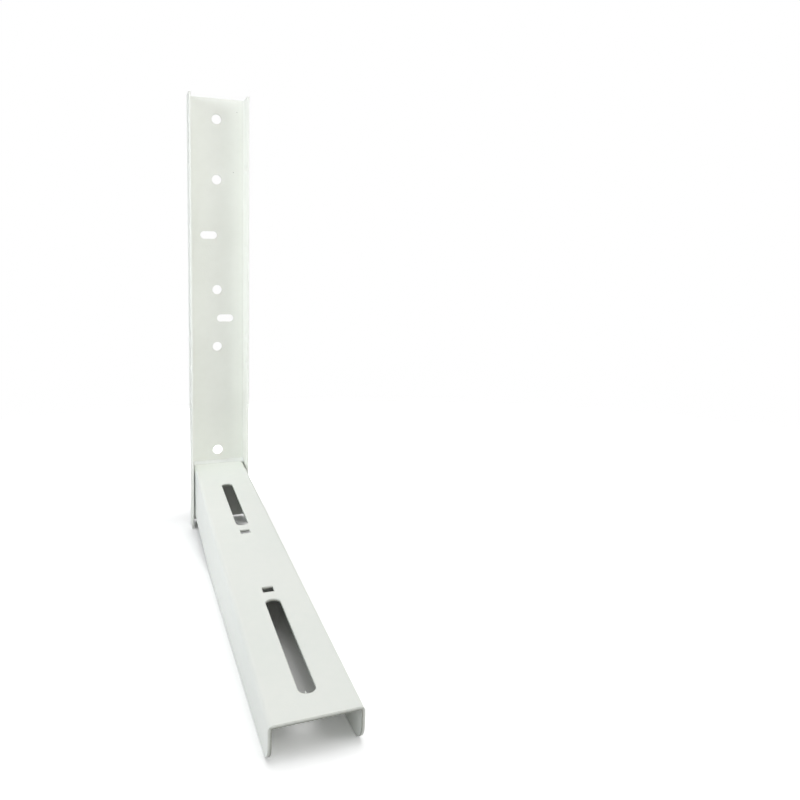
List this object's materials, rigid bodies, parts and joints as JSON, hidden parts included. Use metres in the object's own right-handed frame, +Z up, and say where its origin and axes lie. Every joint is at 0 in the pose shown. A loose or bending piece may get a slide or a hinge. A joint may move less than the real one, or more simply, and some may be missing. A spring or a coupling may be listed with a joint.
{
  "type": "air conditioner outdoor unit bracket",
  "caption": "L-shaped wall bracket of folded sheet steel: a channel for the wall and a tapered, slotted arm welded to it.",
  "frame": {"origin": "on the channel's wall face, on its centre line, level with the arm's top face", "axes": "+Z up along the wall channel, +Y into the wall, so the arm reaches towards -Y, and +X to the right"},
  "size_m": [0.06, 0.442, 0.456],
  "materials": {
    "channel_coat": "satin powder coat, off-white",
    "arm_coat": "satin powder coat, off-white",
    "weld_coat": "satin powder coat over weld"
  },
  "bodies": {
    "root": {"wall_channel": "channel_coat", "arm": "arm_coat", "top_weld": "weld_coat", "left_weld": "weld_coat", "right_weld": "weld_coat"}
  },
  "joints": []
}
